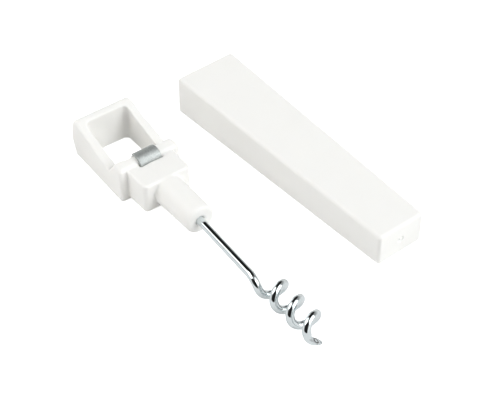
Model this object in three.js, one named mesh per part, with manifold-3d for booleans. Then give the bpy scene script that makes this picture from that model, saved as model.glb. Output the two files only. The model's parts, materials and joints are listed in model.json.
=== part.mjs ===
// A two-part pocket corkscrew, laid out open on a table. Millimetres, +Z up.
//
// The opener head is one white moulding: a rectangular frame with a hole through it, a humped
// crossbar, a plug that the sheath closes on, and a round barrel. A bent steel claw plate sits on
// the crossbar and lifts crown caps. A steel worm is anchored in the barrel. The tapered sheath
// lies beside the head. It closes over the worm, and its narrow end also goes through the hole in
// the head, as the crossbar of a T-shaped handle.
//
// X runs along the worm from the frame to the tip. The pieces are drawn from the front face of the
// frame, the step that the sheath closes against, with the table at Z = 0. At the end everything
// is moved so that the origin is the middle of the outline on the table.

import * as THREE from 'three';
import { mergeVertices } from 'three/addons/utils/BufferGeometryUtils.js';
import Module from 'manifold-3d';

// Clearance between pieces that touch.
const GAP = 0.3;
// Height of the barrel and worm axis above the table.
const AXIS_HEIGHT = 7.05;

// Frame of the opener head. Lengths are measured back from the step face.
const FRAME_LENGTH = 34.2;
const FRAME_FRONT_WIDTH = 25.3;
const FRAME_BACK_WIDTH = 23.8;
const FRAME_HEIGHT = 15.9;
const FRAME_BACK_BOW = 0.8;
const FRAME_FRONT_RADIUS = 1.4;
const FRAME_BACK_RADIUS = 2.6;
const NOTCH_BACK = 10.8;
const NOTCH_HEIGHT = 9.2;
const HUMP_FRONT = 2.4;
const HUMP_BACK = 4.2;
const HUMP_HEIGHT = 14.3;
const STEP_HEIGHT = 13.5;
const STEP_EDGE = 0.8;
const ARM_BACK = 24;
const ARM_HEIGHT = 14.2;
const CREST_FRONT = 29.5;

// Hole through the frame.
const HOLE_BACK = 28.4;
const HOLE_WIDTH = 17.2;
const HOLE_CORNER_RADIUS = 2.3;
const CROSSBAR_BACK = 5.6;
const SCOOP_DEPTH = 0.9;
const SCOOP_FILLET = 2.6;
const PAD_HALF_WIDTH = 4.4;

// Plug inside the mouth of the sheath.
const PLUG_LENGTH = 10.5;
const PLUG_REAR_WIDTH = 19.2;
const PLUG_FRONT_WIDTH = 18.7;
const PLUG_BOTTOM = 1.2;
const PLUG_TOP = 12.9;
const PLUG_SIDE_RADIUS = 1.3;
const PLUG_TOP_RADIUS = 1;

// Barrel that holds the worm.
const BARREL_END = 29.7;
const BARREL_ROOT_RADIUS = 5.6;
const BARREL_END_RADIUS = 5.35;
const BARREL_EDGE_RADIUS = 0.8;
const RECESS_RADIUS = 2.6;
const RECESS_DEPTH = 4.5;
const BORE_RADIUS = 1.9;
const BORE_START = 11.7;

// Claw plate, bent round an axis that runs across the crossbar.
const CLAW_WIDTH = 8.9;
const CLAW_THICKNESS = 1;
const CLAW_OUTER_RADIUS = 3.9;
const CLAW_AXIS_BACK = 2.95;
const CLAW_AXIS_HEIGHT = 11.47;
const CLAW_FRONT_ANGLE = THREE.MathUtils.degToRad(28);
const CLAW_LIP_ANGLE = THREE.MathUtils.degToRad(152);
const CLAW_LEG_BOTTOM = 10.6;
const CLAW_CORNER_RADIUS = 1.9;

// Worm wire.
const WIRE_RADIUS = 1.43;
const WIRE_START = 12;
const SHANK_START = 24;
const SHANK_END = new THREE.Vector3(60.7, -3.4, AXIS_HEIGHT + 2.5);
const HELIX_RADIUS = 3.67;
const HELIX_PITCH = 8.31;
const HELIX_START_X = 66.7;
const HELIX_START_ANGLE = THREE.MathUtils.degToRad(-165);
const HELIX_TURNS = 3.24;
const BEND_REACH = 3.2;
const TIP_CUT_ANGLE = THREE.MathUtils.degToRad(52);
const TIP_CUTTER_SIZE = 5;

// Sheath, drawn from its mouth and lying on one of its wide faces.
const SHEATH_LENGTH = 106;
const MOUTH_WIDTH = 25.3;
const MOUTH_HEIGHT = 16;
const CLOSED_WIDTH = 19.8;
const CLOSED_HEIGHT = 12.8;
const SHEATH_SIDE_RADIUS = 1.6;
const SHEATH_TOP_RADIUS = 1.3;
const CAVITY_DEPTH = 103.4;
const CAVITY_MOUTH_WIDTH = 19.8;
const CAVITY_MOUTH_HEIGHT = 12.2;
const CAVITY_END_WIDTH = 15.6;
const CAVITY_END_HEIGHT = 11;
const SHEATH_PLACE = new THREE.Vector3(-29, 44.4, 0);
const SHEATH_YAW = THREE.MathUtils.degToRad(2.07);

// Fineness of curves, and how far a cutter runs past the piece it cuts.
const CURVE_SEGMENTS = 6;
const ROUND_SIDES = 32;
const WIRE_SIDES = 12;
const WIRE_STEP = 1.1;
const OVERRUN = 2;

const wasm = await Module();
wasm.setup();

// Turns a closed three.js geometry into a solid that can be joined and cut.
function solidOf(geometry) {
  const bare = geometry.clone();
  bare.deleteAttribute('normal');
  bare.deleteAttribute('uv');
  const merged = mergeVertices(bare);
  const vertProperties = new Float32Array(merged.attributes.position.array);
  const triVerts = new Uint32Array(merged.index.array);
  return new wasm.Manifold(new wasm.Mesh({ numProp: 3, vertProperties, triVerts }));
}

// Turns a solid back into a three.js geometry.
function geometryOf(solid) {
  const { vertProperties, triVerts } = solid.getMesh();
  const geometry = new THREE.BufferGeometry();
  geometry.setAttribute('position', new THREE.BufferAttribute(vertProperties, 3));
  geometry.setIndex(new THREE.BufferAttribute(triVerts, 1));
  geometry.computeVertexNormals();
  return geometry;
}

// A side view, with X along the object and Y as height, extruded across the object.
function sideSolid(shape, width) {
  const options = { depth: width, bevelEnabled: false, curveSegments: CURVE_SEGMENTS };
  const geometry = new THREE.ExtrudeGeometry(shape, options);
  geometry.translate(0, 0, -width / 2);
  geometry.rotateX(Math.PI / 2);
  return solidOf(geometry);
}

// A plan view extruded upwards between two heights.
function planSolid(shape, bottom, top) {
  const options = { depth: top - bottom, bevelEnabled: false, curveSegments: CURVE_SEGMENTS };
  const geometry = new THREE.ExtrudeGeometry(shape, options);
  geometry.translate(0, 0, bottom);
  return solidOf(geometry);
}

// A closed outline through corners [x, y, radius], where a radius rounds the corner.
function roundedOutline(corners) {
  const shape = new THREE.Shape();
  corners.forEach(([x, y, radius = 0], i) => {
    const corner = new THREE.Vector2(x, y);
    const before = corners.at(i - 1);
    const after = corners[(i + 1) % corners.length];
    const towardsBefore = new THREE.Vector2(before[0], before[1]).sub(corner).setLength(radius);
    const towardsAfter = new THREE.Vector2(after[0], after[1]).sub(corner).setLength(radius);
    const arcStart = towardsBefore.add(corner);
    const arcEnd = towardsAfter.add(corner);
    if (i === 0) shape.moveTo(arcStart.x, arcStart.y);
    else shape.lineTo(arcStart.x, arcStart.y);
    if (radius > 0) shape.quadraticCurveTo(x, y, arcEnd.x, arcEnd.y);
  });
  shape.closePath();
  return shape;
}

// Side view of the frame: a tall convex back, arms that slope down to a notch, and the hump.
function frameSideView() {
  const back = -FRAME_LENGTH;
  const shape = new THREE.Shape();
  // The step face, and the top of the crossbar up to its hump.
  shape.moveTo(0, 0);
  shape.lineTo(0, STEP_HEIGHT - STEP_EDGE);
  shape.quadraticCurveTo(0, STEP_HEIGHT, -STEP_EDGE, STEP_HEIGHT);
  shape.lineTo(-HUMP_FRONT, STEP_HEIGHT);
  shape.quadraticCurveTo(-HUMP_FRONT - STEP_EDGE, HUMP_HEIGHT, -HUMP_BACK, HUMP_HEIGHT);
  // Down to the notch, and up along the arms.
  shape.quadraticCurveTo(-HUMP_BACK - 1.7, HUMP_HEIGHT, -NOTCH_BACK + 3.2, NOTCH_HEIGHT + 2.4);
  shape.lineTo(-NOTCH_BACK, NOTCH_HEIGHT);
  shape.quadraticCurveTo(-ARM_BACK + 7, ARM_HEIGHT - 3.2, -ARM_BACK, ARM_HEIGHT);
  shape.quadraticCurveTo(-CREST_FRONT + 2, FRAME_HEIGHT, -CREST_FRONT, FRAME_HEIGHT);
  // The crest, and the convex back down to the table.
  shape.quadraticCurveTo(back + 2.2, FRAME_HEIGHT, back + 1.7, FRAME_HEIGHT - 1.5);
  shape.quadraticCurveTo(back - 0.5, FRAME_HEIGHT / 2, back + 0.9, FRAME_HEIGHT / 4);
  shape.quadraticCurveTo(back + 1.4, 0, back + 3.6, 0);
  shape.closePath();
  return shape;
}

// Plan view of the frame: slightly narrower at the bowed back than at the step.
function framePlanView() {
  const front = FRAME_FRONT_WIDTH / 2;
  const back = FRAME_BACK_WIDTH / 2;
  const backCorner = -FRAME_LENGTH + FRAME_BACK_BOW;
  return roundedOutline([
    [0, -front, FRAME_FRONT_RADIUS],
    [0, front, FRAME_FRONT_RADIUS],
    [backCorner, back, FRAME_BACK_RADIUS],
    [-FRAME_LENGTH, back / 3],
    [-FRAME_LENGTH, -back / 3],
    [backCorner, -back, FRAME_BACK_RADIUS],
  ]);
}

// Plan view of the hole. The crossbar side has a pad under the claw and a scoop on either side.
function holePlanView() {
  const half = HOLE_WIDTH / 2;
  const scoop = -CROSSBAR_BACK + SCOOP_DEPTH;
  return roundedOutline([
    [-HOLE_BACK, half, HOLE_CORNER_RADIUS],
    [-HOLE_BACK, -half, HOLE_CORNER_RADIUS],
    [scoop, -half, SCOOP_FILLET],
    [scoop, -PAD_HALF_WIDTH - SCOOP_DEPTH / 2],
    [-CROSSBAR_BACK, -PAD_HALF_WIDTH],
    [-CROSSBAR_BACK, PAD_HALF_WIDTH],
    [scoop, PAD_HALF_WIDTH + SCOOP_DEPTH / 2],
    [scoop, half, SCOOP_FILLET],
  ]);
}

// The plug starts inside the frame, so that the two are one body.
function plugSolid() {
  const root = -1;
  const rear = PLUG_REAR_WIDTH / 2;
  const front = PLUG_FRONT_WIDTH / 2;
  const plan = roundedOutline([
    [root, -rear],
    [PLUG_LENGTH, -front, PLUG_SIDE_RADIUS],
    [PLUG_LENGTH, front, PLUG_SIDE_RADIUS],
    [root, rear],
  ]);
  const side = roundedOutline([
    [root, PLUG_BOTTOM],
    [PLUG_LENGTH, PLUG_BOTTOM, PLUG_TOP_RADIUS],
    [PLUG_LENGTH, PLUG_TOP, PLUG_TOP_RADIUS],
    [root, PLUG_TOP],
  ]);
  return sideSolid(side, PLUG_REAR_WIDTH + OVERRUN).intersect(planSolid(plan, 0, FRAME_HEIGHT));
}

// Turns a profile of (radius, x) points about the barrel axis.
function turnedSolid(profile) {
  const geometry = new THREE.LatheGeometry(profile, ROUND_SIDES);
  geometry.rotateZ(-Math.PI / 2);
  geometry.translate(0, 0, AXIS_HEIGHT);
  return solidOf(geometry);
}

// The barrel, with a rounded rim and a slight draft.
function barrelSolid() {
  const profile = new THREE.Path();
  profile.moveTo(0, PLUG_LENGTH - OVERRUN);
  profile.lineTo(BARREL_ROOT_RADIUS, PLUG_LENGTH - OVERRUN);
  profile.lineTo(BARREL_END_RADIUS, BARREL_END - BARREL_EDGE_RADIUS);
  profile.quadraticCurveTo(
    BARREL_END_RADIUS, BARREL_END, BARREL_END_RADIUS - BARREL_EDGE_RADIUS, BARREL_END,
  );
  profile.lineTo(0, BARREL_END);
  return turnedSolid(profile.getPoints(CURVE_SEGMENTS));
}

// What is hollow in the barrel: the bore round the wire and the wider recess at the end.
function boreSolid() {
  return turnedSolid([
    new THREE.Vector2(0, BORE_START),
    new THREE.Vector2(BORE_RADIUS, BORE_START),
    new THREE.Vector2(BORE_RADIUS, BARREL_END - RECESS_DEPTH),
    new THREE.Vector2(RECESS_RADIUS, BARREL_END - RECESS_DEPTH),
    new THREE.Vector2(RECESS_RADIUS, BARREL_END + OVERRUN),
    new THREE.Vector2(0, BARREL_END + OVERRUN),
  ]);
}

// The claw plate, or with growth the pocket that it needs: an arc and a leg into the plug.
function clawSolid(growth) {
  const outer = CLAW_OUTER_RADIUS + growth;
  const inner = CLAW_OUTER_RADIUS - CLAW_THICKNESS - growth;
  const slack = growth / CLAW_OUTER_RADIUS;
  const lip = CLAW_LIP_ANGLE + slack;
  const frontX = CLAW_OUTER_RADIUS * Math.cos(CLAW_FRONT_ANGLE) + growth;
  const backX = frontX - CLAW_THICKNESS - 2 * growth;
  const legBottom = CLAW_LEG_BOTTOM - CLAW_AXIS_HEIGHT - growth;
  const side = new THREE.Shape();
  side.absarc(0, 0, outer, Math.acos(frontX / outer), lip, false);
  side.absarc(0, 0, inner, lip, Math.acos(backX / inner), true);
  side.lineTo(backX, legBottom);
  side.lineTo(frontX, legBottom);
  side.closePath();
  const half = CLAW_WIDTH / 2 + growth;
  const plan = roundedOutline([
    [-outer, -half, CLAW_CORNER_RADIUS],
    [outer, -half],
    [outer, half],
    [-outer, half, CLAW_CORNER_RADIUS],
  ]);
  const band = sideSolid(side, 2 * half + OVERRUN);
  const outline = planSolid(plan, -CLAW_AXIS_HEIGHT, outer + OVERRUN);
  return band.intersect(outline).translate([-CLAW_AXIS_BACK, 0, CLAW_AXIS_HEIGHT]);
}

// The rounded ridge of the crossbar that the claw plate is bent over.
function saddleSolid() {
  const radius = CLAW_OUTER_RADIUS - CLAW_THICKNESS;
  const geometry = new THREE.CylinderGeometry(radius, radius, CLAW_WIDTH, ROUND_SIDES);
  geometry.translate(-CLAW_AXIS_BACK, 0, CLAW_AXIS_HEIGHT);
  return solidOf(geometry);
}

// The whole head moulding.
function openerHeadGeometry() {
  const block = sideSolid(frameSideView(), FRAME_FRONT_WIDTH + OVERRUN);
  const outline = planSolid(framePlanView(), -OVERRUN, FRAME_HEIGHT + OVERRUN);
  const hole = planSolid(holePlanView(), -OVERRUN, FRAME_HEIGHT + OVERRUN);
  return geometryOf(
    block.intersect(outline).subtract(hole).add(saddleSolid()).add(plugSolid())
      .add(barrelSolid()).subtract(boreSolid()).subtract(clawSolid(GAP)),
  );
}

// Centre line of the wire: anchored straight in the barrel, a slanting shank, a bend, a helix.
class WormPath extends THREE.Curve {
  constructor() {
    super();
    this.anchor = new THREE.Vector3(WIRE_START, 0, AXIS_HEIGHT);
    this.shankStart = new THREE.Vector3(SHANK_START, 0, AXIS_HEIGHT);
    this.bend = new THREE.CubicBezierCurve3(...this.bendPoints());
    this.anchorEnd = SHANK_START - WIRE_START;
    this.shankFinish = this.anchorEnd + SHANK_END.distanceTo(this.shankStart);
    this.bendFinish = this.shankFinish + this.bend.getLength();
    const turnLength = Math.hypot(2 * Math.PI * HELIX_RADIUS, HELIX_PITCH);
    this.total = this.bendFinish + HELIX_TURNS * turnLength;
  }

  // Point of the helix after a number of turns.
  helixPoint(turns) {
    const angle = HELIX_START_ANGLE + 2 * Math.PI * turns;
    return new THREE.Vector3(
      HELIX_START_X + HELIX_PITCH * turns,
      HELIX_RADIUS * Math.cos(angle),
      AXIS_HEIGHT + HELIX_RADIUS * Math.sin(angle),
    );
  }

  // Direction of the helix after a number of turns.
  helixDirection(turns) {
    const angle = HELIX_START_ANGLE + 2 * Math.PI * turns;
    const around = new THREE.Vector3(0, -Math.sin(angle), Math.cos(angle));
    const advance = HELIX_PITCH / (2 * Math.PI);
    return around.multiplyScalar(HELIX_RADIUS).setX(advance).normalize();
  }

  // The bend leaves along the shank and arrives along the helix.
  bendPoints() {
    const shank = SHANK_END.clone().sub(this.shankStart);
    const leaving = shank.setLength(BEND_REACH).add(SHANK_END);
    const start = this.helixPoint(0);
    const arriving = start.clone().sub(this.helixDirection(0).setLength(BEND_REACH));
    return [SHANK_END, leaving, arriving, start];
  }

  getPoint(t, target = new THREE.Vector3()) {
    const along = t * this.total;
    if (along < this.anchorEnd) {
      return target.copy(this.anchor).setX(WIRE_START + along);
    }
    if (along < this.shankFinish) {
      const share = (along - this.anchorEnd) / (this.shankFinish - this.anchorEnd);
      return target.lerpVectors(this.shankStart, SHANK_END, share);
    }
    if (along < this.bendFinish) {
      const share = (along - this.shankFinish) / (this.bendFinish - this.shankFinish);
      return target.copy(this.bend.getPointAt(share));
    }
    const share = (along - this.bendFinish) / (this.total - this.bendFinish);
    return target.copy(this.helixPoint(HELIX_TURNS * share));
  }
}

// A block with one face on the slanting cut that sharpens the outer side of the wire's end.
function tipCutter(path) {
  const end = path.helixPoint(HELIX_TURNS);
  const forward = path.helixDirection(HELIX_TURNS);
  const outward = end.clone().sub(new THREE.Vector3(end.x, 0, AXIS_HEIGHT)).normalize();
  const point = end.clone().addScaledVector(outward, WIRE_RADIUS);
  const normal = forward.clone().multiplyScalar(Math.sin(TIP_CUT_ANGLE));
  normal.addScaledVector(outward, -Math.cos(TIP_CUT_ANGLE)).normalize();
  const alongCut = forward.clone().addScaledVector(normal, -forward.dot(normal)).normalize();
  const sideways = new THREE.Vector3().crossVectors(normal, alongCut);
  const centre = point.addScaledVector(normal, TIP_CUTTER_SIZE / 2);
  centre.addScaledVector(alongCut, -TIP_CUTTER_SIZE / 3);
  const geometry = new THREE.BoxGeometry(TIP_CUTTER_SIZE, TIP_CUTTER_SIZE, TIP_CUTTER_SIZE);
  geometry.applyMatrix4(
    new THREE.Matrix4().makeBasis(alongCut, sideways, normal).setPosition(centre),
  );
  return solidOf(geometry);
}

// The worm: one wire with a sharpened end.
function wormGeometry() {
  const path = new WormPath();
  const section = new THREE.Shape();
  section.absarc(0, 0, WIRE_RADIUS, 0, 2 * Math.PI, false);
  const steps = Math.round(path.total / WIRE_STEP);
  const curveSegments = WIRE_SIDES / 2;
  const options = { steps, extrudePath: path, bevelEnabled: false, curveSegments };
  const wire = solidOf(new THREE.ExtrudeGeometry(section, options));
  return geometryOf(wire.subtract(tipCutter(path)));
}

// A tapered block along X, from one width and height to another, about a sloping centre line.
// Its far end is rounded, with one radius in plan and one in side view.
function taperedSolid(start, end, widths, heights) {
  const middles = [MOUTH_HEIGHT / 2, CLOSED_HEIGHT / 2];
  const plan = roundedOutline([
    [start, -widths[0] / 2],
    [end, -widths[1] / 2, SHEATH_SIDE_RADIUS],
    [end, widths[1] / 2, SHEATH_SIDE_RADIUS],
    [start, widths[0] / 2],
  ]);
  const side = roundedOutline([
    [start, middles[0] - heights[0] / 2],
    [end, middles[1] - heights[1] / 2, SHEATH_TOP_RADIUS],
    [end, middles[1] + heights[1] / 2, SHEATH_TOP_RADIUS],
    [start, middles[0] + heights[0] / 2],
  ]);
  const tall = sideSolid(side, widths[0] + OVERRUN);
  return tall.intersect(planSolid(plan, -OVERRUN, MOUTH_HEIGHT + OVERRUN));
}

// The sheath: closed at the narrow end, open at the mouth.
function sheathGeometry() {
  const body = taperedSolid(
    0, SHEATH_LENGTH, [MOUTH_WIDTH, CLOSED_WIDTH], [MOUTH_HEIGHT, CLOSED_HEIGHT],
  );
  const cavity = taperedSolid(
    -OVERRUN, CAVITY_DEPTH, [CAVITY_MOUTH_WIDTH, CAVITY_END_WIDTH],
    [CAVITY_MOUTH_HEIGHT, CAVITY_END_HEIGHT],
  );
  return geometryOf(body.subtract(cavity));
}

// Materials.
const WHITE_PLASTIC = new THREE.MeshStandardMaterial({
  color: 0xf3f3f0, roughness: 0.35, metalness: 0,
});
const ZINC_STEEL = new THREE.MeshStandardMaterial({
  color: 0xa4aaa9, roughness: 0.32, metalness: 1,
});
const BRIGHT_STEEL = new THREE.MeshStandardMaterial({
  color: 0xd3d9db, roughness: 0.12, metalness: 1,
});

function namedMesh(name, geometry, material) {
  const mesh = new THREE.Mesh(geometry, material);
  mesh.name = name;
  return mesh;
}

const corkscrew = new THREE.Group();
corkscrew.add(
  namedMesh('opener_head', openerHeadGeometry(), WHITE_PLASTIC),
  namedMesh('claw_plate', geometryOf(clawSolid(0)), ZINC_STEEL),
  namedMesh('worm', wormGeometry(), BRIGHT_STEEL),
);

const sheath = namedMesh('sheath', sheathGeometry(), WHITE_PLASTIC);
sheath.position.copy(SHEATH_PLACE);
sheath.rotation.z = SHEATH_YAW;

const group = new THREE.Group();
group.add(corkscrew, sheath);
const wholeBox = new THREE.Box3().setFromObject(group, true);
const middle = wholeBox.getCenter(new THREE.Vector3());
group.position.set(-middle.x, -middle.y, -wholeBox.min.z);

export default group;
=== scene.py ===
"""Looks of a two-part pocket corkscrew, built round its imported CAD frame.

Shapes are drawn in millimetres, each in a frame of its own, and put_in_place() turns them into
metres in the frame's coordinates. The head is drawn from its step face, the face that the sheath
closes against: u runs towards the worm's tip, v across and w up from the table.
"""

import json
import math

import bmesh
import bpy
import numpy as np
from mathutils import Matrix, Vector


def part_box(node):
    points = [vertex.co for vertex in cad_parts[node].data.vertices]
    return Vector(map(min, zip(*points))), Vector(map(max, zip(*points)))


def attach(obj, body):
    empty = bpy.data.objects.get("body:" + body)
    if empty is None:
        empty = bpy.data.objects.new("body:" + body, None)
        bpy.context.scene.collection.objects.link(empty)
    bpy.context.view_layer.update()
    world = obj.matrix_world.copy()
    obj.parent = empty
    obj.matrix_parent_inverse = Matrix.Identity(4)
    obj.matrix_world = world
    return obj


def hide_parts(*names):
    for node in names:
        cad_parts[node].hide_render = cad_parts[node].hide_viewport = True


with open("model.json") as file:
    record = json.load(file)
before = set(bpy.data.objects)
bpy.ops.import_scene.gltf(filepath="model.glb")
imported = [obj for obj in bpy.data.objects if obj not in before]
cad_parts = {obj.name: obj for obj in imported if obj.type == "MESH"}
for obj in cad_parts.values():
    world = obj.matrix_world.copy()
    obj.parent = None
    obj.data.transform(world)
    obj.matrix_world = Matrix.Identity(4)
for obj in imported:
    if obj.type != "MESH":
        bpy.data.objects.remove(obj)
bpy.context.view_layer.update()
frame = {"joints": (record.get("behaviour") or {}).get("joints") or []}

MM = 0.001

# Camera. Its places are in metres.
CAMERA_TARGET = Vector((-0.00522, 0.00036, 0))
CAMERA_FROM_TARGET = Vector((0.3014, -0.2280, 0.3538))
CAMERA_LENS = 107.56
CAMERA_SENSOR = 36

# Light. Azimuth 0 is along +X and 90 along +Y. Each dark place of the room has its azimuth and
# elevation, then how far from there it is fully dark and how far it reaches, all in degrees.
# The wall blends into the ceiling up to CEILING_HEIGHT, the upward part of a unit direction.
# Distances are in metres.
WALL_LIGHT = 1.0
CEILING_LIGHT = 0.36
CEILING_HEIGHT = 0.6
DARK_LIGHT = 0.02
DARK_PLACES = (((157, 51), (28, 39)), ((301, 22), (38, 50)))
FLOOR_WHITE = 0.76
FLOOR_GLOW = 0.11
FLOOR_GLOW_SEEN = 0.8
FLOOR_HALF = 3
FLOOR_DROP = 0.0001
LIGHT_DISTANCE = 2

# Looks. A pair gives the two ends of what a material varies between.
PLASTIC_COLOUR = (0.885, 0.877, 0.848)
PLASTIC_DARKER = 0.975
PLASTIC_ROUGHNESS = (0.42, 0.56)
PLATE_COLOURS = ((0.36, 0.385, 0.38), (0.56, 0.58, 0.565))
PLATE_ROUGHNESS = (0.5, 0.66)
PLATING_COLOURS = ((0.69, 0.735, 0.745), (0.5, 0.53, 0.535))
PLATING_ROUGHNESS = (0.07, 0.22)
# Colour of the ring on the worm's tip, a painted dark reflection.
PAINTED_TIP_REFLECTION_COLOUR = (0.03, 0.035, 0.035)

# Fineness of the surfaces.
HEAD_STEP = 0.3
CLAW_STEP = 0.14
CLAW_PATH_STEP = 0.01
CURVE_STEPS = 12
BEND_STEPS = 24
WIRE_STEP = 0.35
WIRE_SIDES = 32
CORNER_STEPS = 8

# Opener head: the frame with its hole. A zone gives where a change of shape starts and ends.
AXIS_HEIGHT = 7.05
FRAME_LENGTH = 34.2
FRONT_WIDTH = 25.3
BACK_WIDTH = 23
FRAME_HEIGHT = 15.9
BACK_BOW = 0.8
BACK_BULGE = 0.9
BULGE_ZONE = (22, 33)
FRONT_EDGE = 1.2
BACK_EDGE = 2.6
RIM_EDGE = 0.9
HUMP_MORE_EDGE = 1.0
HUMP_ZONE_ALONG = (-8, -5)
HUMP_ZONE_UP = (9, 13)
FOOT_LESS_EDGE = 0.4
FOOT_ZONE = (2, 5)
ARM_SLOPE_END = (-23, 13.3)
ARM_TOP_CURVE = (-27.5, 15.2, -29.8, FRAME_HEIGHT - 0.1)
NOTCH_BACK = 8.4
NOTCH_HEIGHT = 9.1
HUMP_BACK = 4.2
HUMP_HEIGHT = 14.1
STEP_HEIGHT = 13.3
HOLE_BACK = 28.4
HOLE_WIDTH = 17.2
HOLE_CORNER = 1.8
HOLE_EDGE = 0.45
CROSSBAR_BACK = 5.6
SCOOP_DEPTH = 0.9
PAD_HALF_WIDTH = 4.4

# Opener head: the plug and the barrel.
PLUG_LENGTH = 10.5
PLUG_ROOT = 2
PLUG_REAR_WIDTH = 19.3
PLUG_FRONT_WIDTH = 19.2
PLUG_BOTTOM = 0.95
PLUG_TOP = 12.9
PLUG_CORNER = 1.6
PLUG_EDGE = 0.95
BARREL_END = 29.7
BARREL_ROOT_RADIUS = 5.75
BARREL_END_RADIUS = 5.5
BARREL_EDGE = 1.15
RECESS_RADIUS = 1.95
RECESS_DEPTH = 0.14
BORE_RADIUS = 1.5
BORE_START = 11.7
BORE_END_EDGE = 0.1

# Opener head: the fillets and edges where its parts and its holes meet.
SADDLE_FILLET = 0.5
SADDLE_EDGE = 0.4
PLUG_FILLET = 0.5
BARREL_FILLET = 0.6
RECESS_EDGE = 0.35
BORE_EDGE = 0.2
POCKET_EDGE = 0.12

# Claw plate: cut flat, then bent.
CLAW_LEG_WIDTH = 8.9
CLAW_LIP_WIDTH = 8.5
CLAW_THICKNESS = 1
CLAW_OUTER_RADIUS = 3.9
CLAW_AXIS = (-2.95, 11.47)
CLAW_FRONT_ANGLE = math.radians(28)
CLAW_LIP_ANGLE = math.radians(152)
CLAW_BEND_LENGTH = 1.2
CLAW_LEG_BOTTOM = 10.7
CLAW_CORNER = 1.5
CLAW_EDGE = 0.16
CLAW_GAP = 0.12

# Worm. The ring is a dark reflection painted on the ground face of its tip, standing in for the rim
# of a small facet that mirrors the dark room.
WIRE_RADIUS = 1.48
WIRE_START = 12
SHANK_START = 24
SHANK_END = (60.7, -3.4, AXIS_HEIGHT + 2.5)
BEND_REACH = 3.2
HELIX_RADIUS = 3.67
HELIX_PITCH = 8.31
HELIX_START = 66.7
HELIX_START_ANGLE = math.radians(-165)
HELIX_TURNS = 3.24
TIP_CUT_ANGLE = math.radians(48)
TIP_REACH = 5
TIP_EDGE = 0.16
TIP_RING_FROM_POINT = 2.95
TIP_RING_RADIUS = 0.92
TIP_RING_WIDTH = 0.46

# Sheath, drawn from its mouth: s runs to the closed end.
SHEATH_LENGTH = 106
MOUTH_SIZE = (25.3, 16)
CLOSED_SIZE = (19.8, 12.8)
SHEATH_CORNER = 1.35
SHEATH_END_EDGE = 1.2
SHEATH_RIM_EDGE = 0.45
CAVITY_DEPTH = 103.4
CAVITY_MOUTH_SIZE = (19.8, 12.2)
CAVITY_END_SIZE = (15.6, 11)
CAVITY_CORNER = 1.3
CAVITY_END_CORNER = 1.5
GATE_RADIUS = 1.5
GATE_DEPTH = 0.45


# ---------------------------------------------------------------- distance functions


def round_both(a, b, radius):
    """What is in both solids, with the edges between them rounded."""
    outside = np.hypot(np.maximum(a + radius, 0), np.maximum(b + radius, 0))
    return np.minimum(np.maximum(a, b), -radius) + outside


def round_either(a, b, radius):
    """What is in either solid, with the corner between them filled by a fillet."""
    return -round_both(-a, -b, radius)


def smooth_step(value, start, end):
    """0 before start, 1 after end, and smooth between them."""
    share = np.clip((value - start) / (end - start), 0, 1)
    return share * share * (3 - 2 * share)


def outline(start, *moves):
    """Points of a closed outline. A move is (x, y) for a line, or (cx, cy, x, y) for a curve."""
    points = [start]
    for move in moves:
        if len(move) == 2:
            points.append(move)
            continue
        before = np.array(points[-1])
        control, after = np.array(move[:2]), np.array(move[2:])
        for t in np.linspace(0, 1, CURVE_STEPS + 1)[1:]:
            points.append(tuple((1 - t) ** 2 * before + 2 * t * (1 - t) * control + t * t * after))
    return np.array(points)


def outline_distance(points, x, y):
    """Distance in a plane from a closed outline, negative inside it."""
    x, y = np.broadcast_arrays(x, y)
    nearest = np.full(x.shape, np.inf)
    inside = np.zeros(x.shape, bool)
    for (ax, ay), (bx, by) in zip(points, np.roll(points, -1, axis=0)):
        ex, ey = bx - ax, by - ay
        px, py = x - ax, y - ay
        share = np.clip((px * ex + py * ey) / (ex * ex + ey * ey), 0, 1)
        nearest = np.minimum(nearest, (px - ex * share) ** 2 + (py - ey * share) ** 2)
        inside ^= ((ay > y) != (by > y)) & ((px * ey < ex * py) == (ey > 0))
    return np.where(inside, -1, 1) * np.sqrt(nearest)


# ---------------------------------------------------------------- surfaces of solids


def slope_of(distance, points, reach):
    """Values of a distance function at some points, and its gradients there."""
    here = distance(*points.T)
    shifted = [distance(*(points + reach * axis).T) for axis in np.eye(3)]
    return here, np.stack([(value - here) / reach for value in shifted], axis=1)


def settled(distance, points, reach):
    """Points moved along the slope onto the surface of a distance function."""
    here, slope = slope_of(distance, points, reach)
    # The slope is small inside a sharp corner, where it must not fling a point away.
    steepness = np.maximum((slope**2).sum(axis=1), 0.2)
    return points - (here / steepness)[:, None] * slope


def relaxed(points, faces):
    """Each point moved to the middle of the faces round it."""
    middles = points[faces].mean(axis=1)
    corners = faces.ravel()
    total = [np.bincount(corners, np.repeat(middles[:, i], 4)) for i in range(3)]
    return np.stack(total, axis=1) / np.bincount(corners)[:, None]


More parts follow.
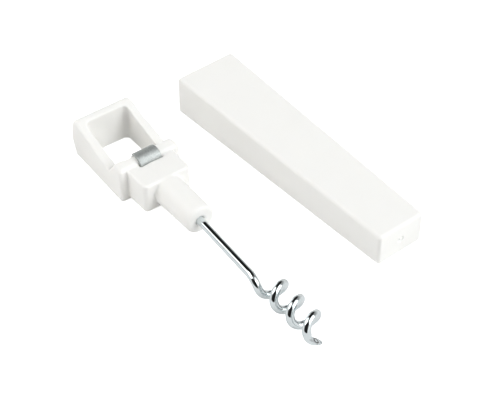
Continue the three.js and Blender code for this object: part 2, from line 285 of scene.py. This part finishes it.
def skin(distance, low, high, step):
    """Evenly spread quads on the surface of a solid, which a distance function describes."""
    axes = [np.arange(a - 2 * step, b + 3 * step, step) for a, b in zip(low, high)]
    inside = distance(*np.meshgrid(*axes, indexing="ij", sparse=True)) < 0
    cells = [count - 1 for count in inside.shape]
    corners_inside = sum(
        inside[i : i + cells[0], j : j + cells[1], k : k + cells[2]].astype(int)
        for i in (0, 1)
        for j in (0, 1)
        for k in (0, 1)
    )
    # A cell whose corners lie on both sides of the surface holds a point.
    crossed = (corners_inside > 0) & (corners_inside < 8)
    number = np.full(crossed.shape, -1)
    number[crossed] = np.arange(crossed.sum())
    points = np.array([axis[0] for axis in axes]) + (np.argwhere(crossed) + 0.5) * step
    faces = []
    for axis in range(3):
        # The four cells round a grid edge that crosses the surface make a quad.
        side_a, side_b = np.roll(np.eye(3, dtype=int), -axis - 1, axis=0)[:2]
        here = inside[:-1, :-1, :-1]
        ahead = np.roll(inside, -1, axis)[:-1, :-1, :-1]
        edges = np.argwhere(here != ahead)
        ring = [edges - side_a - side_b, edges - side_b, edges, edges - side_a]
        quads = np.stack([number[tuple(cell.T)] for cell in ring], axis=1)
        inward = ~here[tuple(edges.T)]
        quads[inward] = quads[inward, ::-1]
        faces.append(quads)
    faces = np.concatenate(faces)
    for _ in range(3):
        points = settled(distance, relaxed(points, faces), step / 20)
    return settled(distance, points, step / 20), faces


# ---------------------------------------------------------------- places


def head_place():
    """Matrix from the head's millimetres to the frame."""
    low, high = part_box("opener_head")
    origin = Vector((high.x - BARREL_END * MM, (low.y + high.y) / 2, low.z))
    return Matrix.Translation(origin) @ Matrix.Scale(MM, 4)


def sheath_place():
    """Matrix from the sheath's millimetres, measured from the middle of its mouth, to the frame."""
    low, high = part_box("sheath")
    along = Vector(frame["joints"][0]["axis"]).normalized()
    half = MOUTH_SIZE[0] / 2 * MM
    mouth = Vector((low.x + half * along.y, low.y + half * along.x, low.z))
    turn = Matrix.Rotation(math.atan2(along.y, along.x), 4, "Z")
    return Matrix.Translation(mouth) @ turn @ Matrix.Scale(MM, 4)


def put_in_place(name, points, faces, place, node, body, material):
    """A piece of the object that stands for a CAD node, with its place in its mesh."""
    mesh = bpy.data.meshes.new(name)
    mesh.from_pydata([tuple(p) for p in points], [], [tuple(f) for f in faces])
    mesh.transform(place)
    mesh.validate()
    mesh.shade_smooth()
    mesh.materials.append(material)
    piece = bpy.data.objects.new(name, mesh)
    bpy.context.scene.collection.objects.link(piece)
    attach(piece, body)
    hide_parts(node)
    return piece


# ---------------------------------------------------------------- opener head


def frame_side_outline():
    """Side view of the frame: a tall back, arms that slope down to a notch, and the hump."""
    top_back = -FRAME_LENGTH + 2.2
    return outline(
        (0, 0),
        (0, STEP_HEIGHT - 0.7),
        (0, STEP_HEIGHT, -0.8, STEP_HEIGHT + 0.1),
        (-2.2, HUMP_HEIGHT, -HUMP_BACK, HUMP_HEIGHT),
        (-HUMP_BACK - 1.6, HUMP_HEIGHT, -NOTCH_BACK + 1.9, NOTCH_HEIGHT + 2.4),
        (-NOTCH_BACK + 0.5, NOTCH_HEIGHT + 0.6),
        (-NOTCH_BACK, NOTCH_HEIGHT, -NOTCH_BACK - 0.9, NOTCH_HEIGHT + 0.2),
        ARM_SLOPE_END,
        ARM_TOP_CURVE,
        (top_back, FRAME_HEIGHT, top_back - 0.5, FRAME_HEIGHT - 1.5),
        (-FRAME_LENGTH - 0.5, 8, -FRAME_LENGTH + 0.6, 3.4),
        (-FRAME_LENGTH + 0.9, 0, -FRAME_LENGTH + 2.6, 0),
    )


FRAME_SIDE = frame_side_outline()


def frame_distance(u, v, w):
    """The frame, with its rounded edges and the hole through it."""
    share = np.clip(-u / FRAME_LENGTH, 0, 1)
    half = (FRONT_WIDTH + (BACK_WIDTH - FRONT_WIDTH) * share) / 2
    across = np.abs(v) - half
    back = -u - FRAME_LENGTH + BACK_BOW * (v / half) ** 2
    plan = round_both(round_both(across, back, BACK_EDGE), u, FRONT_EDGE)
    belly = np.sin(math.pi * np.clip((w - 1) / (FRAME_HEIGHT - 1), 0, 1))
    plan = plan - BACK_BULGE * belly * smooth_step(-u, *BULGE_ZONE)
    side = outline_distance(FRAME_SIDE, u, w)
    hump = smooth_step(u, *HUMP_ZONE_ALONG) * smooth_step(w, *HUMP_ZONE_UP)
    foot = 1 - smooth_step(w, *FOOT_ZONE)
    block = round_both(plan, side, RIM_EDGE + HUMP_MORE_EDGE * hump - FOOT_LESS_EDGE * foot)
    return round_both(block, -hole_distance(u, v), HOLE_EDGE)


def hole_distance(u, v):
    """Plan view of the hole, with a scoop in the crossbar on each side of the claw."""
    scoop = SCOOP_DEPTH * smooth_step(np.abs(v), PAD_HALF_WIDTH - 0.3, PAD_HALF_WIDTH + 1.6)
    across = np.abs(v) - HOLE_WIDTH / 2
    back = -u - HOLE_BACK
    front = u + CROSSBAR_BACK - scoop
    return round_both(round_both(across, back, HOLE_CORNER), front, HOLE_CORNER)


def plug_distance(u, v, w):
    """The block that fits inside the mouth of the sheath."""
    share = u / PLUG_LENGTH
    half = (PLUG_REAR_WIDTH + (PLUG_FRONT_WIDTH - PLUG_REAR_WIDTH) * share) / 2
    across = np.abs(v) - half
    upright = np.abs(w - (PLUG_TOP + PLUG_BOTTOM) / 2) - (PLUG_TOP - PLUG_BOTTOM) / 2
    along = np.maximum(u - PLUG_LENGTH, -PLUG_ROOT - u)
    return round_both(round_both(across, along, PLUG_CORNER), upright, PLUG_EDGE)


def round_bar(u, v, w, radius, start, end, edge):
    """A bar about the barrel's axis, with a rounded rim at its far end."""
    around = np.hypot(v, w - AXIS_HEIGHT) - radius
    return round_both(np.maximum(around, start - u), u - end, edge)


def claw_pocket_distance(u, v, w):
    """The slot in the crossbar that the leg of the claw plate goes into."""
    leg = CLAW_AXIS[0] + CLAW_OUTER_RADIUS * math.cos(CLAW_FRONT_ANGLE) - CLAW_THICKNESS / 2
    along = np.abs(u - leg) - CLAW_THICKNESS / 2 - CLAW_GAP
    across = np.abs(v) - CLAW_LEG_WIDTH / 2 - CLAW_GAP
    return np.maximum(np.maximum(along, across), CLAW_LEG_BOTTOM - CLAW_GAP - w)


def saddle_distance(u, v, w):
    """The rounded ridge that the claw plate is bent over."""
    around = np.hypot(u - CLAW_AXIS[0], w - CLAW_AXIS[1])
    ridge = around - CLAW_OUTER_RADIUS + CLAW_THICKNESS + CLAW_GAP
    return round_both(ridge, np.abs(v) - CLAW_LEG_WIDTH / 2 + SADDLE_EDGE, SADDLE_EDGE)


def head_distance(u, v, w):
    """The whole head moulding."""
    share = (u - PLUG_LENGTH) / (BARREL_END - PLUG_LENGTH)
    radius = BARREL_ROOT_RADIUS + (BARREL_END_RADIUS - BARREL_ROOT_RADIUS) * share
    barrel = round_bar(u, v, w, radius, 0, BARREL_END, BARREL_EDGE)
    clear = BARREL_END + 5
    bore = round_bar(u, v, w, BORE_RADIUS, BORE_START, clear, BORE_END_EDGE)
    recess = round_bar(u, v, w, RECESS_RADIUS, BARREL_END - RECESS_DEPTH, clear, BORE_END_EDGE)
    solid = round_either(frame_distance(u, v, w), saddle_distance(u, v, w), SADDLE_FILLET)
    solid = round_either(solid, plug_distance(u, v, w), PLUG_FILLET)
    solid = round_either(solid, barrel, BARREL_FILLET)
    solid = round_both(solid, -recess, RECESS_EDGE)
    solid = round_both(solid, -bore, BORE_EDGE)
    return round_both(solid, -claw_pocket_distance(u, v, w), POCKET_EDGE)


def make_opener_head(material):
    half = FRONT_WIDTH / 2
    low, high = (-FRAME_LENGTH, -half, 0), (BARREL_END, half, FRAME_HEIGHT)
    points, faces = skin(head_distance, low, high, HEAD_STEP)
    return put_in_place(
        "opener_head_moulding", points, faces, head_place(),
        "opener_head", "corkscrew", material,
    )


# ---------------------------------------------------------------- claw plate


def claw_path():
    """Middle line of the plate in side view, from the top of its leg to its lip.

    Gives the distances along it from the end of the bend, its points and its headings there,
    and then the length of the straight leg below it.
    """
    middle = CLAW_OUTER_RADIUS - CLAW_THICKNESS / 2
    start = CLAW_FRONT_ANGLE + CLAW_BEND_LENGTH / 2 / middle
    arc_start = np.array(CLAW_AXIS) + middle * np.array([math.cos(start), math.sin(start)])
    arc_length = middle * (CLAW_LIP_ANGLE - start)
    steps = np.arange(-CLAW_BEND_LENGTH, arc_length, CLAW_PATH_STEP)
    # The heading turns quickly at the bend above the leg, then steadily round the arc.
    in_bend = start * smooth_step(steps, -CLAW_BEND_LENGTH, 0)
    turned = np.where(steps > 0, start + steps / middle, in_bend)
    heading = turned + math.pi / 2
    moves = np.stack([np.cos(heading), np.sin(heading)], axis=1) * CLAW_PATH_STEP
    places = np.cumsum(moves, axis=0)
    places += arc_start - places[np.searchsorted(steps, 0)]
    leg = places[0][1] - CLAW_LEG_BOTTOM
    return steps, places, heading, leg


def claw_distance(s, t, n):
    """The plate before it is bent: s along it from its foot, t across, n through its thickness."""
    steps, _, _, leg = claw_path()
    length = leg + CLAW_BEND_LENGTH + steps[-1]
    half = (CLAW_LEG_WIDTH + (CLAW_LIP_WIDTH - CLAW_LEG_WIDTH) * s / length) / 2
    plan = round_both(np.abs(t) - half, s - length, CLAW_CORNER)
    plan = np.maximum(plan, -s)
    return round_both(plan, np.abs(n) - CLAW_THICKNESS / 2, CLAW_EDGE)


def make_claw_plate(material):
    """The plate, skinned flat and then carried onto its bent middle line."""
    steps, places, heading, leg = claw_path()
    length = leg + CLAW_BEND_LENGTH + steps[-1]
    half = CLAW_LEG_WIDTH / 2
    low = (0, -half, -CLAW_THICKNESS / 2)
    high = (length, half, CLAW_THICKNESS / 2)
    flat, faces = skin(claw_distance, low, high, CLAW_STEP)
    s = flat[:, 0] - leg - CLAW_BEND_LENGTH
    along = [np.interp(s, steps, places[:, i]) for i in (0, 1)]
    below = np.minimum(s - steps[0], 0)
    angle = np.interp(s, steps, heading)
    outward = flat[:, 2]
    points = np.stack(
        [
            along[0] + outward * np.sin(angle),
            flat[:, 1],
            along[1] + below - outward * np.cos(angle),
        ],
        axis=1,
    )
    return put_in_place(
        "claw_plate_bent", points, faces, head_place(),
        "claw_plate", "corkscrew", material,
    )


# ---------------------------------------------------------------- worm


def helix_point(turns):
    """Middle of the wire after some turns of the helix."""
    angle = HELIX_START_ANGLE + 2 * math.pi * turns
    return Vector((
        HELIX_START + HELIX_PITCH * turns,
        HELIX_RADIUS * math.cos(angle),
        AXIS_HEIGHT + HELIX_RADIUS * math.sin(angle),
    ))


def helix_direction(turns):
    return (helix_point(turns + 1e-4) - helix_point(turns - 1e-4)).normalized()


def bend_point(t):
    """Point of the bend, which leaves along the shank and arrives along the helix."""
    shank_start, shank_end = Vector((SHANK_START, 0, AXIS_HEIGHT)), Vector(SHANK_END)
    leaving = shank_end + (shank_end - shank_start).normalized() * BEND_REACH
    arriving = helix_point(0) - helix_direction(0) * BEND_REACH
    return (
        (1 - t) ** 3 * shank_end
        + 3 * t * (1 - t) ** 2 * leaving
        + 3 * t * t * (1 - t) * arriving
        + t**3 * helix_point(0)
    )


def worm_path():
    """Points along the middle of the wire, from its anchored end to its tip."""
    knots = [
        Vector((WIRE_START, 0, AXIS_HEIGHT)),
        Vector((SHANK_START, 0, AXIS_HEIGHT)),
        Vector(SHANK_END),
    ]
    points = []
    for start, end in zip(knots, knots[1:]):
        count = round((end - start).length / WIRE_STEP)
        points += [start.lerp(end, i / count) for i in range(count)]
    points += [bend_point(i / BEND_STEPS) for i in range(BEND_STEPS)]
    turn_length = math.hypot(2 * math.pi * HELIX_RADIUS, HELIX_PITCH)
    count = round(HELIX_TURNS * turn_length / WIRE_STEP)
    points += [helix_point(HELIX_TURNS * i / count) for i in range(count + 1)]
    return points


def tip_face():
    """The wire's point, on its outer side, and two directions: out of the ground face and up it."""
    end, forward = helix_point(HELIX_TURNS), helix_direction(HELIX_TURNS)
    outward = (end - Vector((end.x, 0, AXIS_HEIGHT))).normalized()
    along, across = math.cos(TIP_CUT_ANGLE), math.sin(TIP_CUT_ANGLE)
    normal = forward * across - outward * along
    return end + outward * WIRE_RADIUS, normal, -forward * along - outward * across


def grind_tip(mesh_data):
    """Cuts the end of the wire on a slant, which leaves a point."""
    end = helix_point(HELIX_TURNS)
    point, normal, _ = tip_face()
    near = [f for f in mesh_data.faces if (f.calc_center_median() - end).length < TIP_REACH]
    geometry = near + list({e for f in near for e in f.edges} | {v for f in near for v in f.verts})
    bmesh.ops.bisect_plane(
        mesh_data, geom=geometry, dist=1e-5, plane_co=point, plane_no=normal, clear_outer=True
    )
    rim = [e for e in mesh_data.edges if e.is_boundary]
    flat = bmesh.ops.contextual_create(mesh_data, geom=rim)["faces"]
    bmesh.ops.recalc_face_normals(mesh_data, faces=mesh_data.faces)
    bmesh.ops.bevel(
        mesh_data, geom=[e for f in flat for e in f.edges], offset=TIP_EDGE, segments=3,
        affect="EDGES", profile=0.5,
    )


def make_worm(material):
    """The wire, as a circle swept along its path without twisting."""
    path = worm_path()
    work = bmesh.new()
    side = Vector((0, 1, 0))
    rings = []
    for i, point in enumerate(path):
        ahead = (path[min(i + 1, len(path) - 1)] - path[max(i - 1, 0)]).normalized()
        side = (side - ahead * side.dot(ahead)).normalized()
        other = ahead.cross(side)
        ring = []
        for k in range(WIRE_SIDES):
            angle = 2 * math.pi * k / WIRE_SIDES
            offset = side * math.cos(angle) + other * math.sin(angle)
            ring.append(work.verts.new(point + offset * WIRE_RADIUS))
        rings.append(ring)
    for ring, following in zip(rings, rings[1:]):
        for k in range(WIRE_SIDES):
            after = (k + 1) % WIRE_SIDES
            work.faces.new((ring[k], ring[after], following[after], following[k]))
    work.faces.new(rings[0][::-1])
    grind_tip(work)
    work.verts.index_update()
    points = [v.co.copy() for v in work.verts]
    faces = [[v.index for v in f.verts] for f in work.faces]
    work.free()
    piece = put_in_place(
        "worm_wire", points, faces, head_place(), "worm", "corkscrew", material
    )
    weigh_normals(piece)
    return piece


# ---------------------------------------------------------------- sheath


def size_at(s, start_size, end_size, length):
    """Width and height of an even taper at some distance along it."""
    share = s / length
    return [a + (b - a) * share for a, b in zip(start_size, end_size)]


def sheath_ring(s, size, inset, corner):
    """Points round a rounded rectangle across the sheath."""
    middle = (MOUTH_SIZE[1] + (CLOSED_SIZE[1] - MOUTH_SIZE[1]) * s / SHEATH_LENGTH) / 2
    half_y, half_z = size[0] / 2 - inset, size[1] / 2 - inset
    radius = max(corner - inset, 0.1)
    ring = []
    for quarter, (sign_y, sign_z) in enumerate(((1, 1), (-1, 1), (-1, -1), (1, -1))):
        for k in range(CORNER_STEPS + 1):
            angle = math.pi / 2 * (quarter + k / CORNER_STEPS)
            y = sign_y * (half_y - radius) + radius * math.cos(angle)
            z = sign_z * (half_z - radius) + radius * math.sin(angle)
            ring.append((s, y, middle + z))
    return ring


def round_ring(s, radius, centre):
    """Points round a circle, as many as a sheath ring has."""
    count = 4 * (CORNER_STEPS + 1)
    ring = []
    for k in range(count):
        angle = 2 * math.pi * (k + 0.5) / count
        ring.append((s, radius * math.cos(angle), centre + radius * math.sin(angle)))
    return ring


def gate_rings():
    """The dimple in the closed end, with the stub of the gate in the middle of it."""
    centre = CLOSED_SIZE[1] / 2
    stub = [(0.05, -0.15), (0.25, -0.15), (0.38, -0.2), (0.45, -0.35)]
    floor = [(0.6, -GATE_DEPTH), (1.0, -GATE_DEPTH)]
    slope = [(1.25, -GATE_DEPTH * 0.7), (1.4, -0.08), (GATE_RADIUS, 0)]
    profile = stub + floor + slope
    return [round_ring(SHEATH_LENGTH + depth, radius, centre) for radius, depth in profile]


def rounding(radius):
    """Steps round a quarter circle, as distances that grow from 0 and that shrink to 0."""
    for k in range(CORNER_STEPS + 1):
        angle = math.pi / 2 * k / CORNER_STEPS
        yield radius * (1 - math.cos(angle)), radius * (1 - math.sin(angle))


def outer_ring(s, inset):
    """Ring on the outside of the sheath, set in from its faces."""
    return sheath_ring(s, size_at(s, MOUTH_SIZE, CLOSED_SIZE, SHEATH_LENGTH), inset, SHEATH_CORNER)


def cavity_ring(s, inset):
    """Ring on the cavity of the sheath, set in from its walls."""
    size = size_at(s, CAVITY_MOUTH_SIZE, CAVITY_END_SIZE, CAVITY_DEPTH)
    return sheath_ring(s, size, inset, CAVITY_END_CORNER)


def sheath_rings():
    """Rings over the whole shell: the closed end, the outside, the rim, the cavity and its end."""
    rings = gate_rings()
    rings += [outer_ring(SHEATH_LENGTH - grow, shrink) for grow, shrink in rounding(SHEATH_END_EDGE)]
    rings += [outer_ring(shrink, grow) for grow, shrink in rounding(SHEATH_RIM_EDGE)]
    rings += [
        sheath_ring(grow, CAVITY_MOUTH_SIZE, -shrink, CAVITY_CORNER)
        for grow, shrink in rounding(SHEATH_RIM_EDGE)
    ]
    rings += [cavity_ring(CAVITY_DEPTH - shrink, grow) for grow, shrink in rounding(CAVITY_CORNER)]
    return rings


def make_sheath(material):
    """The shell, as one closed surface over its outside and its cavity."""
    rings = sheath_rings()
    count = len(rings[0])
    points = [p for ring in rings for p in ring]
    faces = [tuple(range(count))]
    last = (len(rings) - 1) * count
    for here in range(0, last, count):
        following = here + count
        for k in range(count):
            after = (k + 1) % count
            faces.append((here + k, following + k, following + after, here + after))
    faces.append(tuple(range(last + count - 1, last - 1, -1)))
    piece = put_in_place(
        "sheath_shell", points, faces, sheath_place(), "sheath", "sheath", material
    )
    weigh_normals(piece)
    return piece


def weigh_normals(piece):
    """Keeps flat faces flat beside narrow rounded edges."""
    modifier = piece.modifiers.new("weighted normals", "WEIGHTED_NORMAL")
    modifier.keep_sharp = True


# ---------------------------------------------------------------- materials


class Surface:
    """A material under construction, with short ways to add and join its nodes."""

    def __init__(self, name):
        self.material = bpy.data.materials.new(name)
        self.material.use_nodes = True
        self.tree = self.material.node_tree
        self.shader = self.tree.nodes["Principled BSDF"]
        self.place = self.add("ShaderNodeTexCoord").outputs["Object"]

    def add(self, kind, **settings):
        node = self.tree.nodes.new(kind)
        for key, value in settings.items():
            setattr(node, key, value)
        return node

    def join(self, output, socket):
        self.tree.links.new(output, socket)

    def stretched(self, scale):
        """Object coordinates scaled by a number for each axis."""
        mapping = self.add("ShaderNodeMapping")
        mapping.inputs["Scale"].default_value = scale
        self.join(self.place, mapping.inputs["Vector"])
        return mapping.outputs["Vector"]

    def noise(self, size, detail=2.0, vector=None):
        """Noise whose lumps are about size metres across."""
        node = self.add("ShaderNodeTexNoise")
        node.inputs["Scale"].default_value = 1 / size
        node.inputs["Detail"].default_value = detail
        self.join(vector or self.place, node.inputs["Vector"])
        return node.outputs["Fac"]

    def remap(self, value, start, end, low, high):
        """A value that goes from low to high as another goes from start to end."""
        node = self.add("ShaderNodeMapRange")
        self.join(value, node.inputs["Value"])
        node.inputs["From Min"].default_value = start
        node.inputs["From Max"].default_value = end
        node.inputs["To Min"].default_value = low
        node.inputs["To Max"].default_value = high
        return node.outputs["Result"]

    def colours(self, share, first, second):
        """A mix of two colours. Each is three numbers, or the output of another node."""
        node = self.add("ShaderNodeMix", data_type="RGBA")
        self.join(share, node.inputs["Factor"])
        # The node's colours are its inputs 6 and 7, and their mix is its output 2.
        for socket, colour in ((node.inputs[6], first), (node.inputs[7], second)):
            if isinstance(colour, tuple):
                socket.default_value = (*colour, 1)
            else:
                self.join(colour, socket)
        return node.outputs[2]

    def bump(self, height, distance, strength, below=None):
        """Normals of a bumpy surface, on top of the normals of another bump if there is one."""
        node = self.add("ShaderNodeBump")
        node.inputs["Distance"].default_value = distance
        node.inputs["Strength"].default_value = strength
        self.join(height, node.inputs["Height"])
        if below is not None:
            self.join(below, node.inputs["Normal"])
        return node.outputs["Normal"]

    def ring(self, middle, radius, width):
        """1 on a ring round a point, and 0 away from it."""
        distance = self.add("ShaderNodeVectorMath", operation="DISTANCE")
        self.join(self.place, distance.inputs[0])
        distance.inputs[1].default_value = middle
        near = self.add("ShaderNodeMath", operation="COMPARE")
        self.join(distance.outputs["Value"], near.inputs[0])
        near.inputs[1].default_value = radius
        near.inputs[2].default_value = width / 2
        return near.outputs["Value"]

    def set(self, **numbers):
        """Sets sockets of the shader. An underscore in a name stands for a space."""
        for key, value in numbers.items():
            self.shader.inputs[key.replace("_", " ")].default_value = value


def white_plastic(name):
    """Satin moulded plastic: faint flow and fine grain, and slightly uneven gloss."""
    surface = Surface(name)
    shader = surface.shader
    surface.set(Metallic=0, IOR=1.49, Subsurface_Weight=0.12, Subsurface_Scale=1.2 * MM)
    surface.set(Subsurface_Radius=(1.0, 0.95, 0.85))
    tone = surface.noise(9 * MM, 3)
    darker = tuple(c * PLASTIC_DARKER for c in PLASTIC_COLOUR)
    surface.join(surface.colours(tone, darker, PLASTIC_COLOUR), shader.inputs["Base Color"])
    gloss = surface.noise(2.5 * MM, 4)
    surface.join(surface.remap(gloss, 0.3, 0.7, *PLASTIC_ROUGHNESS), shader.inputs["Roughness"])
    flow = surface.bump(surface.noise(7 * MM, 1), 0.04 * MM, 0.6)
    grain = surface.bump(surface.noise(0.22 * MM, 2), 0.006 * MM, 0.5, flow)
    surface.join(grain, shader.inputs["Normal"])
    return surface.material


def zinc_steel():
    """Zinc-plated plate with fine lines along the bend and mottled gloss."""
    surface = Surface("zinc_steel")
    shader = surface.shader
    surface.set(Metallic=0.85)
    lines = surface.noise(0.12 * MM, 3, surface.stretched((1, 0.06, 1)))
    mottle = surface.remap(surface.noise(0.4 * MM, 4), 0.35, 0.65, 0, 1)
    surface.join(surface.colours(mottle, *PLATE_COLOURS), shader.inputs["Base Color"])
    surface.join(surface.remap(lines, 0.3, 0.7, *PLATE_ROUGHNESS), shader.inputs["Roughness"])
    surface.join(surface.bump(lines, 0.01 * MM, 0.4), shader.inputs["Normal"])
    return surface.material


def plated_wire():
    """Bright plated wire, slightly wavy, with a few dull spots and a painted dark reflection, a ring
    on its ground tip.
    """
    surface = Surface("plated_wire")
    shader = surface.shader
    surface.set(Metallic=1)
    spots = surface.remap(surface.noise(0.7 * MM, 3), 0.62, 0.72, 0, 1)
    plating = surface.colours(spots, *PLATING_COLOURS)
    # Painted dark reflection: a dark ring in the colour of the tip's ground face, standing in for a
    # facet's rim that mirrors the dark room.
    point, _, up_face = tip_face()
    middle = head_place() @ (point + up_face * TIP_RING_FROM_POINT)
    painted_tip_reflection = surface.ring(middle, TIP_RING_RADIUS * MM, TIP_RING_WIDTH * MM)
    surface.join(surface.colours(painted_tip_reflection, plating, PAINTED_TIP_REFLECTION_COLOUR), shader.inputs["Base Color"])
    surface.join(surface.remap(spots, 0, 1, *PLATING_ROUGHNESS), shader.inputs["Roughness"])
    surface.join(surface.bump(surface.noise(1.1 * MM, 2), 0.012 * MM, 0.5), shader.inputs["Normal"])
    return surface.material


# ---------------------------------------------------------------- stage


def pale_floor():
    """A white light table. It looks brighter than it lights, so shadows on it stay faint."""
    surface = Surface("pale_floor")
    surface.set(Base_Color=(FLOOR_WHITE, FLOOR_WHITE, FLOOR_WHITE, 1), Emission_Color=(1, 1, 1, 1))
    surface.set(Roughness=0.8, Specular_IOR_Level=0.1)
    seen = surface.add("ShaderNodeLightPath").outputs["Is Camera Ray"]
    glow = surface.remap(seen, 0, 1, FLOOR_GLOW, FLOOR_GLOW_SEEN)
    surface.join(glow, surface.shader.inputs["Emission Strength"])
    return surface.material


def make_floor():
    mesh = bpy.data.meshes.new("floor")
    corners = [(x * FLOOR_HALF, y * FLOOR_HALF, 0) for x, y in ((-1, -1), (1, -1), (1, 1), (-1, 1))]
    mesh.from_pydata(corners, [], [(0, 1, 2, 3)])
    mesh.materials.append(pale_floor())
    floor = bpy.data.objects.new("floor", mesh)
    floor.location.z = -FLOOR_DROP
    bpy.context.scene.collection.objects.link(floor)


def direction(azimuth, elevation):
    """Unit vector towards a place in the room, from its angles in degrees."""
    across, up = math.radians(azimuth), math.radians(elevation)
    return Vector((
        math.cos(across) * math.cos(up), math.sin(across) * math.cos(up), math.sin(up)
    ))


def make_light(name, towards, size, power, tint, mirrored=True):
    """A square soft box that faces the object. Bright metal mirrors it unless mirrored is False."""
    light = bpy.data.lights.new(name, "AREA")
    light.color = tint
    light.shape = "SQUARE"
    light.size = size
    light.energy = power
    lamp = bpy.data.objects.new(name, light)
    lamp.location = towards * LIGHT_DISTANCE
    lamp.rotation_euler = (-towards).to_track_quat("-Z", "Y").to_euler()
    lamp.visible_glossy = mirrored
    bpy.context.scene.collection.objects.link(lamp)


def make_lights():
    """Two large boxes above, and three small ones low down that lift the upright faces."""
    make_light("key_box", direction(30, 46), 1.7, 34, (0.965, 0.985, 1))
    make_light("fill_box", direction(230, 46), 1.4, 18, (1, 1, 1))
    make_light("low_box", direction(266, 18), 1.2, 7, (1, 0.985, 0.96), mirrored=False)
    make_light("front_box", direction(8, 14), 1.2, 1.3, (1, 1, 1))
    make_light("side_box", direction(180, 15), 1.0, 2.5, (1, 1, 1))


def blend_towards(tree, light, towards, start, end, after):
    """Light that changes to another strength as the view nears a direction."""
    nearness = tree.nodes.new("ShaderNodeVectorMath")
    nearness.operation = "DOT_PRODUCT"
    nearness.inputs[1].default_value = towards
    share = tree.nodes.new("ShaderNodeMapRange")
    share.interpolation_type = "SMOOTHSTEP"
    share.inputs["From Min"].default_value = start
    share.inputs["From Max"].default_value = end
    mix = tree.nodes.new("ShaderNodeMix")
    mix.inputs["B"].default_value = after
    tree.links.new(tree.nodes["place"].outputs["Generated"], nearness.inputs[0])
    tree.links.new(nearness.outputs["Value"], share.inputs["Value"])
    tree.links.new(share.outputs["Result"], mix.inputs["Factor"])
    tree.links.new(light, mix.inputs["A"])
    return mix.outputs["Result"]


def make_room():
    """Pale walls under a dimmer ceiling, with dark places for bright metal to reflect."""
    world = bpy.data.worlds.new("room")
    bpy.context.scene.world = world
    world.use_nodes = True
    tree = world.node_tree
    background = tree.nodes["Background"]
    tree.nodes.new("ShaderNodeTexCoord").name = "place"
    wall = tree.nodes.new("ShaderNodeValue")
    wall.outputs[0].default_value = WALL_LIGHT
    light = blend_towards(tree, wall.outputs[0], (0, 0, 1), 0, CEILING_HEIGHT, CEILING_LIGHT)
    for place, angles in DARK_PLACES:
        inner, outer = (math.cos(math.radians(angle)) for angle in angles)
        light = blend_towards(tree, light, direction(*place), outer, inner, DARK_LIGHT)
    # What the camera sees past the floor is as white as the floor.
    seen = tree.nodes.new("ShaderNodeLightPath")
    choose = tree.nodes.new("ShaderNodeMix")
    choose.inputs["B"].default_value = 1
    tree.links.new(seen.outputs["Is Camera Ray"], choose.inputs["Factor"])
    tree.links.new(light, choose.inputs["A"])
    tree.links.new(choose.outputs["Result"], background.inputs["Strength"])
    background.inputs["Color"].default_value = (1, 1, 1, 1)


def make_camera():
    lens = bpy.data.cameras.new("camera")
    lens.lens = CAMERA_LENS
    lens.sensor_width = CAMERA_SENSOR
    lens.sensor_fit = "HORIZONTAL"
    camera = bpy.data.objects.new("camera", lens)
    camera.location = CAMERA_TARGET + CAMERA_FROM_TARGET
    camera.rotation_euler = (-CAMERA_FROM_TARGET).to_track_quat("-Z", "Y").to_euler()
    bpy.context.scene.collection.objects.link(camera)
    bpy.context.scene.camera = camera


make_camera()
make_room()
make_floor()
make_lights()
bpy.context.scene.view_settings.view_transform = "Standard"

make_opener_head(white_plastic("head_plastic"))
make_claw_plate(zinc_steel())
make_worm(plated_wire())
make_sheath(white_plastic("sheath_plastic"))
